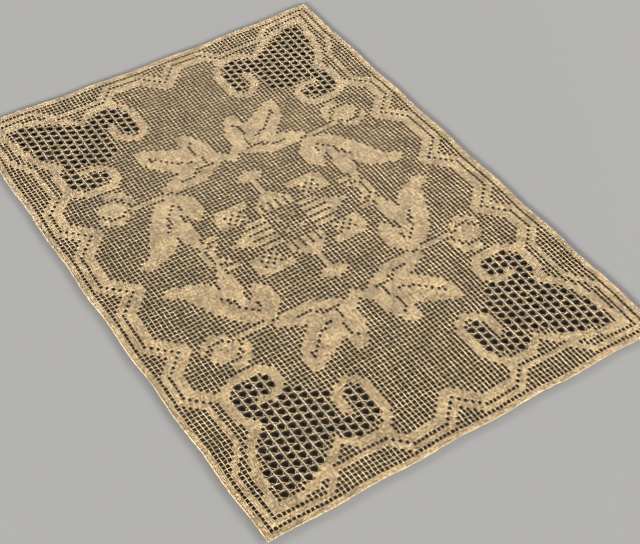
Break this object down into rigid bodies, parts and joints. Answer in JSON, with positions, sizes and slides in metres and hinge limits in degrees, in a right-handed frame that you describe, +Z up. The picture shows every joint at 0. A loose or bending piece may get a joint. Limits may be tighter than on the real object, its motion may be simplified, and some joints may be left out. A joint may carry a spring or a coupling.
{
  "type": "filet lace table runner",
  "caption": "Flat rectangular filet crochet table runner of ecru cotton: square net with solid-worked leaves, corner scrolls and a scalloped frame, to lay on a table.",
  "frame": {"origin": "on the underside, at the middle of the runner's box", "axes": "+X across the runner, +Y along its length, +Z up out of its face"},
  "size_m": [0.419, 0.5902, 0.0022],
  "materials": {
    "ecru_cotton": "matt twisted crochet cotton, ecru"
  },
  "bodies": {
    "root": {"filet_lace": "ecru_cotton"}
  },
  "joints": []
}
